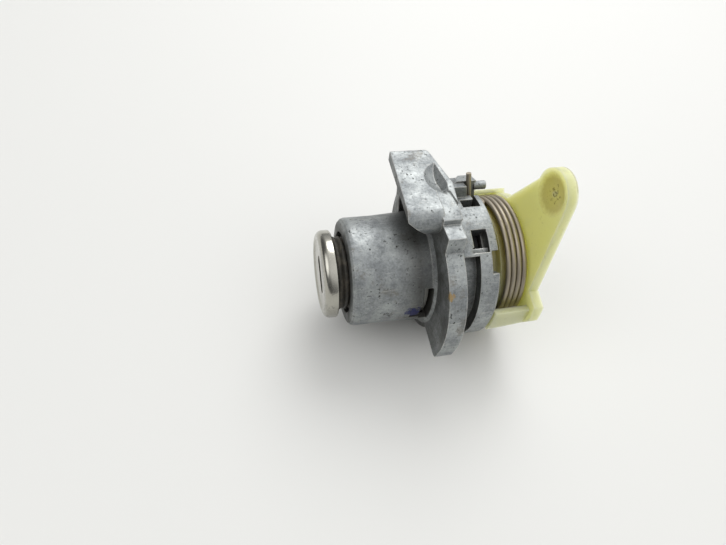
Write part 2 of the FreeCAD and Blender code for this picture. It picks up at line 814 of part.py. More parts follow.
def arm_outline():
    """Arm from the disc's right side, round the boss and down the left edge."""
    centre = V(0, boss_y, boss_z)
    reach = math.hypot(boss_y, boss_z)
    lean = math.degrees(math.atan2(-boss_y, boss_z))
    normal = lean + 90 - math.degrees(math.asin((plate_disc_r - boss_r) / reach))
    right_low = polar(plate_disc_r, normal)
    right_high = centre + polar(boss_r, normal)
    left_low = V(0, *arm_left_root)
    left_aim = V(0, *arm_left_top)
    left_high = centre + (left_aim - centre).normalize() * boss_r
    top = centre + polar(boss_r, lean)
    inner = polar(plate_disc_r / 2, normal)
    edges = lines_through([left_high, left_low, inner, right_low, right_high])
    return face_of(edges + [Part.Arc(right_high, top, left_high).toShape()])


def plate_rear_x():
    return plate_x + plate_thick


def lever():
    plate = moved(arm_outline().extrude(V(plate_thick, 0, 0)), plate_x)
    plate = plate.fuse(rod(plate_disc_r, plate_x, plate_rear_x()))
    inner_r = drum_neck_r - drum_wall
    root_x = plate_x + weld
    drum = turned_profile([(drum_front_x, inner_r), (drum_front_x, drum_neck_r), (drum_step_x, drum_neck_r),
                           (drum_step_x + drum_step_length, drum_r), (root_x, drum_r), (root_x, inner_r)])
    body = plate.fuse(drum).fuse(rod(lever_hub_r, lever_hub_front_x, plate_rear_x()))
    # ribs that the clutch's dogs push against
    middle = (dog_inner_r + dog_outer_r) / 2
    offset = dog_half_angle + math.degrees((rib_half_thick + free_gap) / middle)
    rib = block(lever_hub_front_x, root_x, -rib_half_thick, rib_half_thick, lever_hub_r - weld,
                inner_r + weld)
    for angle in dog_angles:
        for side in (-1, 1):
            body = body.fuse(turned(rib, angle + side * offset))
    body = body.fuse(near_tab()).fuse(near_ear()).fuse(top_tab())
    body = body.cut(rod(tail_r + run_fit, lever_hub_front_x - over, plate_rear_x() + over))
    sphere_r = (dish_r ** 2 + dish_depth ** 2) / (2 * dish_depth)
    body = body.cut(Part.makeSphere(sphere_r, V(plate_x + dish_depth - sphere_r, boss_y, boss_z)))
    pip_root = V(plate_x + dish_depth + weld, boss_y, boss_z)
    pip = Part.makeCone(pip_r, pip_r / 2, pip_height + weld, pip_root, V(-1, 0, 0))
    return body.fuse(pip).removeSplitter()


def tab_front_x():
    return collar_rear_x + free_gap


def near_tab():
    """Guard tab that reaches forward over the coil, its lower edge slanting up towards the plate."""
    x0 = tab_front_x()
    tab = sector(near_tab_inner_r, near_tab_r, x0, plate_x + weld, near_tab_angles)
    low = -near_tab_r * math.sin(math.radians(near_tab_angles[1] - near_tab_root_angle))
    past = plate_x + over
    slant = polygon([V(x0, low, 0), V(plate_x, 0, 0), V(past, 0, 0), V(past, 2 * low, 0), V(x0, 2 * low, 0)])
    return tab.cut(turned(slant.extrude(V(0, 0, near_tab_r + over)), near_tab_root_angle))


def near_ear():
    """Ear of the plate that carries the near tab."""
    a0, a1 = near_ear_angles
    mid = (a0 + a1) / 2
    start = polar(near_ear_r, a0)
    end = polar(near_ear_r, a1)
    edges = lines_through([end, polar(near_tab_r, near_tab_root_angle), polar(plate_disc_r / 2, mid),
                           polar(near_ear_root_r, near_ear_root_angle), start])
    edges.append(Part.Arc(start, polar(near_ear_r, mid), end).toShape())
    return moved(face_of(edges).extrude(V(plate_thick, 0, 0)), plate_x)


def top_tab_inner_r():
    return coil_r + wire_r + free_gap


def top_tab():
    """Curved tab that lies over the coil, under the housing's finger."""
    inner = top_tab_inner_r()
    tab = sector(inner, inner + top_tab_thick, tab_front_x(), plate_rear_x(), top_tab_angles)
    return tab.fuse(sector(plate_disc_r - over, inner + weld, plate_x, plate_rear_x(), top_tab_angles))


def leg_angle():
    """The front leg stands against the near side of the lug's block."""
    return lug_angle - math.degrees(math.asin((lug_block_near_y - wire_r - run_fit) / collar_r))


def leg_centre_x(r):
    """Place of the front leg along X, which leans forward as it rises."""
    return leg_x - leg_lean * (r - coil_r) / (leg_top_r - coil_r)


def rear_leg_angle():
    """The rear leg stands against the far end of the lever's top tab."""
    return top_tab_angles[0] - math.degrees(math.asin((wire_r + run_fit) / top_tab_inner_r()))


def return_spring():
    """Torsion coil, one leg against the housing's lug and the other against the lever's top tab."""
    end_x = plate_x - coil_end_gap - wire_r
    sweep = 360 * coil_full_turns + leg_angle() - rear_leg_angle()
    start_x = end_x - coil_pitch * sweep / 360
    ease = math.degrees(leg_bend_r / coil_r)
    steps = math.ceil((sweep - 2 * ease) / 360 * coil_sides)
    coil = []
    for step in range(steps + 1):
        share = ease + (sweep - 2 * ease) * step / steps
        coil.append(at(start_x + coil_pitch * share / 360, coil_r, leg_angle() - share))
    front_corner = at(start_x, coil_r, leg_angle())
    foot = at(leg_x, coil_r, leg_angle())
    tip = at(leg_x - leg_lean, leg_top_r, leg_angle())
    rear_corner = at(end_x, coil_r, rear_leg_angle())
    rear_tip = at(end_x, rear_leg_r, rear_leg_angle())
    points = [tip] + bend(tip, foot, front_corner, leg_bend_r, bend_runs)
    points += bend(foot, front_corner, coil[0], leg_bend_r, bend_runs)[:-1] + coil
    points += bend(coil[-1], rear_corner, rear_tip, leg_bend_r, bend_runs)[1:] + [rear_tip]
    return wire(points, wire_r, wire_sides, V(0, 1, 0))


def washer_x():
    return plate_rear_x() + run_fit


def circlip_x():
    return washer_x() + washer_thick + run_fit


def lever_washer():
    return tube(washer_r, tail_r + run_fit, washer_x(), washer_x() + washer_thick)


def tail_circlip():
    ring = open_ring(circlip_r, circlip_groove_r + close_fit, circlip_x(), circlip_x() + circlip_thick,
                     circlip_gap_angle, circlip_gap_half)
    return turned(ring, keyway_angle)


def all_pieces():
    pieces = {"housing": housing(), "plug": plug(), "face_cap": face_cap(), "neck_seal": neck_seal(),
              "shutter_flap": shutter_flap(), "shutter_pin": shutter_pin(),
              "shutter_spring": shutter_spring(), "sleeve": sleeve(), "detent_shoe": detent_shoe(),
              "detent_ring": detent_ring(), "clutch_ring": clutch_ring(),
              "retaining_clip": retaining_clip(), "lever": lever(), "return_spring": return_spring(),
              "lever_washer": lever_washer(), "tail_circlip": tail_circlip()}
    for index in range(wafer_count):
        pieces["wafer_%d" % (index + 1)] = wafer(index)
        pieces["wafer_spring_%d" % (index + 1)] = wafer_spring(index)
    return pieces


os.makedirs("parts", exist_ok=True)
for name, shape in all_pieces().items():
    shape.exportStep("parts/%s.step" % name)
    print(name, "solids", len(shape.Solids), "valid", shape.isValid(), "volume %.2f" % shape.Volume)
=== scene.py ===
# %% [markdown]
# A car door lock cylinder, dressed for a plain studio picture
#
# The lock is a dull zinc casting with a long barrel, a flange and a wing. A polished steel cap closes its
# front, and a translucent nylon lever with a bronze-coloured spring sits at its rear. The solids arrive
# packed, in metres, with X along the lock's axis and Z up. This lesson keeps them where they are and
# gives them their finishes. It rebuilds only the pieces whose shine shows every facet: the spring's round
# wire, the rolled cap and the ribbed seal.

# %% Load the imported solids
import json
import math

import bmesh
import bpy
from mathutils import Matrix, Vector


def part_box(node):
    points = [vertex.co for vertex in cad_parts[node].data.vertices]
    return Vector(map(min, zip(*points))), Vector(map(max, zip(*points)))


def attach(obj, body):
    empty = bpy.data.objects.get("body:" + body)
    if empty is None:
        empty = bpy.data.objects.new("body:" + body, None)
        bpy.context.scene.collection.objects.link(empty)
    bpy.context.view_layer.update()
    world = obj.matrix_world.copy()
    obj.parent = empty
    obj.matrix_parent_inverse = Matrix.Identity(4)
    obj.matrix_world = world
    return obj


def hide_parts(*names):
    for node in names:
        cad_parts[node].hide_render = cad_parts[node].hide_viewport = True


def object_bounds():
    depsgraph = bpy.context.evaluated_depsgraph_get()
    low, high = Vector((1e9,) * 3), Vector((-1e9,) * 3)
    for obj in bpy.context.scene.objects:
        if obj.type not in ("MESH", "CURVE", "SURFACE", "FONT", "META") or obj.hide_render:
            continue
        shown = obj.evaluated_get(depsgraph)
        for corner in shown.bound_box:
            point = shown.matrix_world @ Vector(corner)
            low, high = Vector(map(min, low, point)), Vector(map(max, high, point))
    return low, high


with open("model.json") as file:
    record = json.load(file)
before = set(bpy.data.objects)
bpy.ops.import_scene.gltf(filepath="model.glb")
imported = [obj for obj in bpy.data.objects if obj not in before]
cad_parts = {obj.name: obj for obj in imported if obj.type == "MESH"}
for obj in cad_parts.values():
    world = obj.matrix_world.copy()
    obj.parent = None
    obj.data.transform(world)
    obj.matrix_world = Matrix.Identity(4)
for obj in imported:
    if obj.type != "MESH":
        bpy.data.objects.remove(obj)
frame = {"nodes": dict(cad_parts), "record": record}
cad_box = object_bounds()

MM = 0.001
scene = bpy.context.scene

# %% [markdown]
# The camera
#
# The picture that this one matches was taken with a wide phone lens from a hand's breadth away, so near
# parts look large and the cylinders don't run parallel. The place and the aim below were worked out from
# the outlines of the barrel, the flange and the coil. A camera looks along its own -Z, so its axes are
# built from the aim and the picture's upward direction.

# %% Camera
PICTURE_WIDTH = 726
FOCAL_PIXELS = 480.0
SENSOR_WIDTH = 36.0
NEAREST = 0.002
FARTHEST = 20.0
CAMERA_PLACE = Vector((-31.46, -57.81, 76.53)) * MM
CAMERA_AIM = Vector((0.2041, 0.5859, -0.7843))
CAMERA_UP = Vector((0.1031, 0.7838, 0.6124))


def camera_at(place, aim, up):
    back = -aim.normalized()
    right = up.cross(back).normalized()
    above = back.cross(right)
    optics = bpy.data.cameras.new("camera")
    optics.sensor_fit = "HORIZONTAL"
    optics.sensor_width = SENSOR_WIDTH
    optics.lens = SENSOR_WIDTH * FOCAL_PIXELS / PICTURE_WIDTH
    optics.clip_start = NEAREST
    optics.clip_end = FARTHEST
    eye = bpy.data.objects.new("camera", optics)
    scene.collection.objects.link(eye)
    turn = Matrix((right, above, back)).transposed()
    eye.matrix_world = Matrix.Translation(place) @ turn.to_4x4()
    return eye


scene.camera = camera_at(CAMERA_PLACE, CAMERA_AIM, CAMERA_UP)
print("lens %.1f mm" % scene.camera.data.lens)

# %% [markdown]
# Helpers for shader trees
#
# A material is a tree of nodes. Small helpers keep each tree short to read: one adds a node with its
# settings, one sets or links an input, and the others stand for the few nodes that every finish here
# uses. Colours are written as they should look, from 0 to 255, and made linear once. A colour mix has
# several inputs of the same name, so its sockets are picked by their numbers.

# %% Colours, nodes and links
MIX_MASK, MIX_FIRST, MIX_SECOND, MIX_RESULT = 0, 6, 7, 2


def tint(red, green, blue):
    """A colour as seen on a screen, made linear for the shader."""
    shares = [c / 255 for c in (red, green, blue)]
    linear = [s / 12.92 if s <= 0.04045 else ((s + 0.055) / 1.055) ** 2.4 for s in shares]
    return (*linear, 1.0)


def darker(colour, share):
    return (*[share * c for c in colour[:3]], 1.0)


def feed(tree, node, name, value):
    """Set an input to a value, or link it to another node's output."""
    socket = node.inputs[name]
    if isinstance(value, bpy.types.NodeSocket):
        tree.links.new(value, socket)
    else:
        socket.default_value = value


def add(tree, kind, inputs=None, **settings):
    """New node with its settings, and its inputs by name or number."""
    node = tree.nodes.new(kind)
    for name, value in settings.items():
        setattr(node, name, value)
    for name, value in (inputs or {}).items():
        feed(tree, node, name, value)
    return node


def mix(tree, mask, first, second, blend="MIX"):
    """Colour mix. The mask goes from the first colour to the second."""
    node = add(tree, "ShaderNodeMix", {MIX_MASK: mask, MIX_FIRST: first, MIX_SECOND: second},
               data_type="RGBA", blend_type=blend)
    return node.outputs[MIX_RESULT]


print("mid grey is", "%.3f" % tint(128, 128, 128)[0], "when linear")

# %% Sums, ranges and noise


def maths(tree, operation, first, second=0.0):
    return add(tree, "ShaderNodeMath", {0: first, 1: second}, operation=operation).outputs[0]


def times(tree, first, *others):
    for other in others:
        first = maths(tree, "MULTIPLY", first, other)
    return first


def span(tree, value, low, high, to_low=0.0, to_high=1.0):
    """Map one range of values to another, and keep to its ends outside it."""
    node = add(tree, "ShaderNodeMapRange", {"Value": value, "From Min": low, "From Max": high,
                                            "To Min": to_low, "To Max": to_high})
    return node.outputs["Result"]


def noise(tree, vector, scale, detail=3.0, roughness=0.6):
    node = add(tree, "ShaderNodeTexNoise", {"Vector": vector, "Scale": scale, "Detail": detail,
                                            "Roughness": roughness})
    return node.outputs["Fac"]


def patches(tree, place, scale, low, high, detail=3.0, roughness=0.6, least=0.0, most=1.0):
    """Mask of noise: least where the noise is under low, and most where it is over high."""
    return span(tree, noise(tree, place, scale, detail, roughness), low, high, least, most)


print("a noise of scale 1000 has waves of about", 1 / (1000 * MM), "mm")

# %% Places and directions on a piece


def object_place(tree):
    return add(tree, "ShaderNodeTexCoord").outputs["Object"]


def split(tree, vector):
    """X, Y and Z of a vector, by those names."""
    return add(tree, "ShaderNodeSeparateXYZ", {0: vector}).outputs


def facing(tree):
    """The way that the flat of the surface points, as X, Y and Z."""
    return split(tree, add(tree, "ShaderNodeNewGeometry").outputs["True Normal"])


def from_axis(tree, place):
    """Distance from the lock's axis."""
    parts = split(tree, place)
    squares = maths(tree, "ADD", maths(tree, "POWER", parts["Y"], 2.0), maths(tree, "POWER", parts["Z"], 2.0))
    return maths(tree, "SQRT", squares)


def past(tree, value, ends):
    """Mask that grows from the first place to the second, which are in millimetres."""
    return span(tree, value, ends[0] * MM, ends[1] * MM)


print("the lock is %.1f mm long" % ((cad_box[1].x - cad_box[0].x) / MM))

# %% Groups and materials


def new_group(name, inputs, outputs):
    """Shader group with named sockets: inputs are (name, kind, default), outputs are (name, kind)."""
    group = bpy.data.node_groups.new(name, "ShaderNodeTree")
    for label, kind, default in inputs:
        socket = group.interface.new_socket(label, in_out="INPUT", socket_type="NodeSocket" + kind)
        socket.default_value = default
    for label, kind in outputs:
        group.interface.new_socket(label, in_out="OUTPUT", socket_type="NodeSocket" + kind)
    return group, add(group, "NodeGroupInput").outputs, add(group, "NodeGroupOutput")


def use(tree, group, **inputs):
    node = add(tree, "ShaderNodeGroup", node_tree=group)
    for name, value in inputs.items():
        feed(tree, node, name, value)
    return node.outputs


def new_material(name):
    material = bpy.data.materials.new(name)
    material.use_nodes = True
    tree = material.node_tree
    return material, tree, tree.nodes["Principled BSDF"]


def bumped(tree, height, normal, strength, distance):
    """The normal, tilted as a relief of that height would tilt it."""
    node = add(tree, "ShaderNodeBump", {"Strength": strength, "Distance": distance, "Height": height,
                                        "Normal": normal})
    return node.outputs["Normal"]


print("materials at the start", len(bpy.data.materials))

# %% [markdown]
# Effects that several finishes share
#
# Four effects come back on more than one material, so each is a node group with named inputs. A rounded
# edge is found by comparing the true normal with the one a small bevel would have: where they differ
# there is an edge, and edges on a used casting are rubbed bright. Pits, stains and fine lines are noise
# at the scale of the real thing, and a spot is the distance from one point with a ragged rim.

# %% Shared effect: edges
EDGE_SAMPLES = 6
EDGE_START = 0.01

edges_group, given, out = new_group("rubbed_edges", [("Radius", "Float", 0.0003), ("Reach", "Float", 0.25)],
                                    [("Mask", "Float"), ("Normal", "Vector")])
bevel = add(edges_group, "ShaderNodeBevel", {"Radius": given["Radius"]}, samples=EDGE_SAMPLES)
flat = add(edges_group, "ShaderNodeNewGeometry").outputs["True Normal"]
likeness = add(edges_group, "ShaderNodeVectorMath", {0: bevel.outputs[0], 1: flat}, operation="DOT_PRODUCT")
difference = maths(edges_group, "SUBTRACT", 1.0, likeness.outputs["Value"])
feed(edges_group, out, "Mask", span(edges_group, difference, EDGE_START, given["Reach"]))
feed(edges_group, out, "Normal", bevel.outputs[0])
print("edges", len(edges_group.nodes), "nodes")

# %% Shared effect: pits and grain
FIELD_SCALE = 0.16
GRAIN_SCALE = 2.6
GRAIN_HEIGHT = 0.5

pits_group, given, out = new_group("pits", [("Place", "Vector", (0, 0, 0)), ("Scale", "Float", 1500.0),
                                            ("Amount", "Float", 0.4)],
                                   [("Mask", "Float"), ("Height", "Float")])
holes = patches(pits_group, given["Place"], given["Scale"], low=0.6, high=0.67)
field_scale = times(pits_group, given["Scale"], FIELD_SCALE)
fields = patches(pits_group, given["Place"], field_scale, low=0.42, high=0.58)
mask = times(pits_group, holes, fields, given["Amount"])
grain = noise(pits_group, given["Place"], times(pits_group, given["Scale"], GRAIN_SCALE), detail=2.0)
feed(pits_group, out, "Mask", mask)
feed(pits_group, out, "Height", maths(pits_group, "SUBTRACT", times(pits_group, grain, GRAIN_HEIGHT), mask))
print("pits", len(pits_group.nodes), "nodes")

# %% Shared effect: a ragged spot
RAG_SCALE = 1800.0
SPOT_RIM = (1.0, 0.7)

spot_group, given, out = new_group("ragged_spot",
                                   [("Place", "Vector", (0, 0, 0)), ("Centre", "Vector", (0, 0, 0)),
                                    ("Radius", "Float", 0.001), ("Ragged", "Float", 0.5)],
                                   [("Mask", "Float")])
away = add(spot_group, "ShaderNodeVectorMath", {0: given["Place"], 1: given["Centre"]}, operation="DISTANCE")
wobble = patches(spot_group, given["Place"], RAG_SCALE, low=0.3, high=0.7, least=-1.0, most=1.0)
share = maths(spot_group, "DIVIDE", away.outputs["Value"], given["Radius"])
share = maths(spot_group, "ADD", share, times(spot_group, wobble, given["Ragged"]))
feed(spot_group, out, "Mask", span(spot_group, share, *SPOT_RIM))


def spot(tree, place, centre, radius, ragged):
    """Mask of a ragged spot, with its centre and radius in millimetres."""
    centre = Vector(centre) * MM
    return use(tree, spot_group, Place=place, Centre=centre, Radius=radius * MM, Ragged=ragged)["Mask"]


print("spot", len(spot_group.nodes), "nodes")

# %% Shared effect: fine lines
lines_group, given, out = new_group("fine_lines", [("Place", "Vector", (0, 0, 0)),
                                                   ("Stretch", "Vector", (200.0, 3000.0, 3000.0)),
                                                   ("Low", "Float", 0.62), ("High", "Float", 0.75)],
                                    [("Mask", "Float")])
drawn = add(lines_group, "ShaderNodeVectorMath", {0: given["Place"], 1: given["Stretch"]},
            operation="MULTIPLY")
streak = noise(lines_group, drawn.outputs["Vector"], scale=1.0, detail=2.0)
feed(lines_group, out, "Mask", span(lines_group, streak, given["Low"], given["High"]))
print("lines", len(lines_group.nodes), "nodes")

# %% [markdown]
# Die-cast zinc
#
# The casting is grey with a cool tone and no two patches alike. Its skin is cloudy where grease and
# handling have dulled it, with stains, a few scratches and dark pits, and it is rubbed bright along every
# edge. Dirt and painted shade darken its corners, and painted shade darkens the sheltered side of the
# flange, the faces that look forward and the barrel's root. A photographed texture couldn't follow all
# those faces, so each layer is a mask worked out from the place on the solid. It is a mix over the last
# one, from the broad clouds to the marks, and can be tried by itself.

# %% Zinc: its tones
ZINC_DARK = tint(130, 134, 136)
ZINC_MID = tint(154, 158, 159)
ZINC_PALE = tint(176, 180, 179)
ZINC_EDGE = tint(226, 226, 221)
PIT_COLOUR = tint(40, 40, 37)
STAIN_COLOUR = tint(112, 104, 90)
# One dark colour for the corner dirt and for the painted shade.
GRIME_AND_SHADE_COLOUR = tint(62, 60, 54)
ZINC_METALLIC = 0.82
print("zinc goes from %.2f to %.2f" % (ZINC_DARK[0], ZINC_PALE[0]))

# %% Zinc: the cast skin
SCRATCH_STRETCH = (260.0, 2600.0, 1900.0)
SCRATCH_STRENGTH = 0.22


def cast_skin(tree, place, clouds, pits):
    """Cloudy grey with fine mottling, grit, stains, scratches and pits."""
    colour = mix(tree, clouds, ZINC_DARK, ZINC_PALE)
    mottle = patches(tree, place, 1300.0, low=0.36, high=0.64, detail=6.0, roughness=0.75, most=0.5)
    colour = mix(tree, mottle, colour, ZINC_MID)
    grit = patches(tree, place, 2600.0, low=0.36, high=0.64, detail=4.0, roughness=0.75, least=0.84,
                   most=1.12)
    colour = mix(tree, 1.0, colour, grit, "MULTIPLY")
    stain = patches(tree, place, 150.0, low=0.57, high=0.66, detail=6.0, roughness=0.78, most=0.5)
    colour = mix(tree, stain, colour, STAIN_COLOUR)
    scratch = use(tree, lines_group, Place=place, Stretch=SCRATCH_STRETCH, Low=0.64, High=0.7)["Mask"]
    colour = mix(tree, times(tree, scratch, SCRATCH_STRENGTH), colour, ZINC_EDGE)
    return mix(tree, pits["Mask"], colour, PIT_COLOUR)


print("scratches are", SCRATCH_STRETCH[1] / SCRATCH_STRETCH[0], "times as long as wide")

# %% [markdown]
# Dirt and painted shade on the casting
#
# Dirt gathers where a wiping hand can't reach, and shade falls in the same places. Ambient Occlusion tells
# how closed in a point is: a short reach finds the corners, which get dirt and painted shade together, and a
# long one the sheltered side of the flange, which gets painted shade. The faces that look forward get
# painted shade in patches, and so does the last stretch of the barrel before the flange, as a painted dark
# reflection of the flange found by its distance from the axis.

# %% Zinc: dirt and painted shade in corners, painted shade in shelter
AO_SAMPLES = 6
CORNER_REACH = 1.6 * MM
CORNER_CLOSED = (0.75, 0.3)
SHELTER_REACH = 12.0 * MM
SHELTER_CLOSED = (0.75, 0.4)
SHELTER_STRENGTH = 0.45


def openness(tree, reach):
    return add(tree, "ShaderNodeAmbientOcclusion", {"Distance": reach}, samples=AO_SAMPLES).outputs["AO"]


# Dirt and painted shade: a darker mask where the surface is closed in at a short reach.
def corner_grime_and_shade(tree, place):
    ragged = patches(tree, place, 900.0, low=0.3, high=0.6, detail=4.0, least=0.35)
    return times(tree, span(tree, openness(tree, CORNER_REACH), *CORNER_CLOSED), ragged)


# Painted shade: darker on the sheltered side of the flange, found at a long reach.
def painted_shelter_shade(tree):
    return span(tree, openness(tree, SHELTER_REACH), *SHELTER_CLOSED, 0.0, SHELTER_STRENGTH)


print("corner dirt reaches", CORNER_REACH, "m")

# %% Zinc: painted shade on the front faces and the barrel's root
ROOT_X = (-7.5, -2.8)
ROOT_RIM_R = (11.4, 11.2)
ROOT_STRENGTH = 0.8
FACING_FORWARD = (-0.6, -0.95)


def painted_front_shade(tree, place):
    """Painted shade on the faces that look along -X."""
    cloudy = patches(tree, place, 190.0, low=0.4, high=0.62, detail=5.0, roughness=0.7, least=0.3, most=0.75)
    return times(tree, cloudy, span(tree, facing(tree)["X"], *FACING_FORWARD))


def painted_root_shade(tree, place):
    """Painted shade where the barrel runs into the flange: the flange's dark face, painted as its reflection.
    """
    cloudy = patches(tree, place, 260.0, low=0.3, high=0.6, detail=5.0, roughness=0.7, least=0.5)
    along = times(tree, past(tree, split(tree, place)["X"], ROOT_X), ROOT_STRENGTH)
    return times(tree, past(tree, from_axis(tree, place), ROOT_RIM_R), along, cloudy)


print("root dirt starts", ROOT_X[1] - ROOT_X[0], "mm before its end")

# %% Zinc: the whole finish
# How much the corner dirt and painted shade darken the zinc.
GRIME_AND_SHADE_STRENGTH = 0.55
GRIME_ROUGHNESS = 0.25
CLOUD_ROUGHNESS = (0.6, 0.46)


def zinc(name, marks=()):
    """Marks are (centre, radius, colour, strength), with lengths in millimetres."""
    material, tree, shader = new_material(name)
    place = object_place(tree)
    clouds = patches(tree, place, 260.0, low=0.38, high=0.62, detail=8.0, roughness=0.74)
    pits = use(tree, pits_group, Place=place, Scale=1700.0, Amount=0.9)
    colour = cast_skin(tree, place, clouds, pits)
    edge = use(tree, edges_group, Radius=0.35 * MM, Reach=0.15)
    rubbed = patches(tree, place, 700.0, low=0.3, high=0.6, least=0.2, most=0.9)
    colour = mix(tree, times(tree, edge["Mask"], rubbed), colour, ZINC_EDGE)
    grime_and_shade = corner_grime_and_shade(tree, place)
    # Corner dirt with painted shade, then painted shade from shelter, the front faces and the barrel's root.
    layers = [times(tree, grime_and_shade, GRIME_AND_SHADE_STRENGTH), painted_shelter_shade(tree), painted_front_shade(tree, place),
              painted_root_shade(tree, place)]
    for darkening in layers:
        colour = mix(tree, darkening, colour, GRIME_AND_SHADE_COLOUR)
    for centre, radius, mark, strength in marks:
        marked = spot(tree, place, centre, radius, ragged=0.6)
        colour = mix(tree, times(tree, marked, strength), colour, mark)
    feed(tree, shader, "Base Color", colour)
    shader.inputs["Metallic"].default_value = ZINC_METALLIC
    dull = span(tree, clouds, 0.0, 1.0, *CLOUD_ROUGHNESS)
    feed(tree, shader, "Roughness", maths(tree, "ADD", dull, times(tree, grime_and_shade, GRIME_ROUGHNESS)))
    normal = bumped(tree, pits["Height"], edge["Normal"], strength=0.4, distance=0.12 * MM)
    feed(tree, shader, "Normal", normal)
    return material


plug_zinc = zinc("plug_zinc")
sleeve_zinc = zinc("sleeve_zinc")
print("zinc", len(plug_zinc.node_tree.nodes), "nodes")

# %% [markdown]
# Marks on the casting
#
# A used lock has marks of its own. The flange's rim has a rubbed place with a brass tone, the shoe in the
# slot at the barrel's root has a dab of blue paint that also reaches the slot's edge, and the step at the
# wing's heel is pale. Each one is a ragged spot at its place on the solid, so it stays there at every
# pose.

# %% Zinc: marked casting and painted shoe
BRASS_TONE = tint(176, 144, 84)
BLUE_PAINT = tint(44, 47, 100)
RIM_SPOT = (0.1, -15.25, 9.65)
PAINT_SPOT = (-4.0, -10.9, -0.4)
SHOE_SPOT = (-3.3, -11.0, -1.1)
HEEL_SPOT = (3.2, 0.2, 19.1)

zinc_casting = zinc("zinc_casting", [(RIM_SPOT, 0.9, BRASS_TONE, 0.75), (PAINT_SPOT, 1.4, BLUE_PAINT, 0.85),
                                     (HEEL_SPOT, 2.2, ZINC_PALE, 0.8)])
painted_shoe = zinc("painted_shoe", [(SHOE_SPOT, 1.7, BLUE_PAINT, 0.9)])
print("marked zinc", len(zinc_casting.node_tree.nodes), "nodes")

# %% [markdown]
# Steel, wire and brass
#
# The cap is polished steel: nearly a mirror, with hair-fine scuffs that show most in its roughness, and a
# knocked place on its rim where small dents bend the reflection. The spring's wire has browned to bronze
# and is duller. All of them are the same finish with another colour and roughness, because they differ in
# little else.

# %% Steel, wire and brass
SCUFF_STRETCH = (2600.0, 420.0, 2200.0)
SCUFF = 0.12
SMEAR_STRENGTH = 0.35
SMEAR_SHADE = 0.72
DENT_R = 2.4
CAP_DENTS = (-19.6, -8.5, -1.8)


def steel(name, colour, roughness, dents=None):
    """Dents is the centre of a knocked place, if there is one."""
    material, tree, shader = new_material(name)
    place = object_place(tree)
    smear = patches(tree, place, 260.0, low=0.35, high=0.7, detail=4.0)
    scuffs = use(tree, lines_group, Place=place, Stretch=SCUFF_STRETCH, Low=0.6, High=0.72)["Mask"]
    shade = mix(tree, times(tree, smear, SMEAR_STRENGTH), colour, darker(colour, SMEAR_SHADE))
    feed(tree, shader, "Base Color", shade)
    shader.inputs["Metallic"].default_value = 1.0
    smeared = span(tree, smear, 0.0, 1.0, roughness, roughness + SCUFF)
    feed(tree, shader, "Roughness", maths(tree, "ADD", smeared, times(tree, scuffs, SCUFF)))
    edge = use(tree, edges_group, Radius=0.1 * MM, Reach=0.3)
    normal = bumped(tree, scuffs, edge["Normal"], strength=0.12, distance=0.03 * MM)
    if dents:
        knocked = spot(tree, place, dents, DENT_R, ragged=0.6)
        waves = times(tree, noise(tree, place, 650.0, detail=2.0, roughness=0.5), knocked)
        normal = bumped(tree, waves, normal, strength=0.5, distance=0.4 * MM)
    feed(tree, shader, "Normal", normal)
    return material


polished_steel = steel("polished_steel", tint(176, 174, 165), 0.13, CAP_DENTS)
steel_sheet = steel("steel_sheet", tint(190, 190, 186), 0.28)
spring_wire = steel("spring_wire", tint(170, 170, 166), 0.3)
bronze_wire = steel("bronze_wire", tint(172, 163, 148), 0.44)
wafer_brass = steel("wafer_brass", tint(205, 170, 100), 0.3)
print("steel", len(polished_steel.node_tree.nodes), "nodes")

# %% [markdown]
# The lever's nylon
#
# The lever is moulded from a greenish yellow nylon that lets light in, so the Principled shader scatters
# it below the surface. Inside the hub it looks deep, like amber, and that deep tone also paints the shade
# behind the coil. The tabs and the edges are thin and look pale. The boss has a dish with specks of dirt
# at its middle, and a dark line at its end is painted shade along the boss's rear edge.

# %% Nylon: tones and places
NYLON_TONE = tint(221, 220, 156)
NYLON_DEEP = tint(146, 134, 70)
NYLON_PALE = tint(198, 200, 156)
HUB_R = 12.2
HUB_BLUR = 0.2
PLATE_FRONT_X = (18.0, 17.7)
LOW_END_Z = (11.0, 1.0)
DISH_CENTRE = (18.4, -5.6, 23.2)
DISH_R = 4.1
DISH_MIDDLE_R = 1.7
# A dark line at the boss's rear edge: painted shade.
PAINTED_LINE_X = (19.95, 20.1)
PAINTED_LINE_Y = (-2.6, -3.1)
PAINTED_LINE_Z = (26.2, 26.7)
SCATTER_REACH = (1.0, 0.98, 0.7)
SCATTER_SCALE = 6.0 * MM
NYLON_ROUGHNESS = (0.34, 0.5)
FACING_SIDEWAYS = (0.7, 0.35)
CLOUD_STRENGTH = 0.25
CLOUD_SHADE = 0.86
THIN_STRENGTH = 0.8
LOW_END_STRENGTH = 0.75
PAINTED_LINE_STRENGTH = 0.75
DISH_STRENGTH = 0.6
# Darkness of the dish's dirt and of the painted shade line.
DIRT_AND_SHADE_DARKNESS = 0.35
print("the lever's hub is", 2 * HUB_R, "mm wide")

# %% Nylon: deep hub and pale tabs


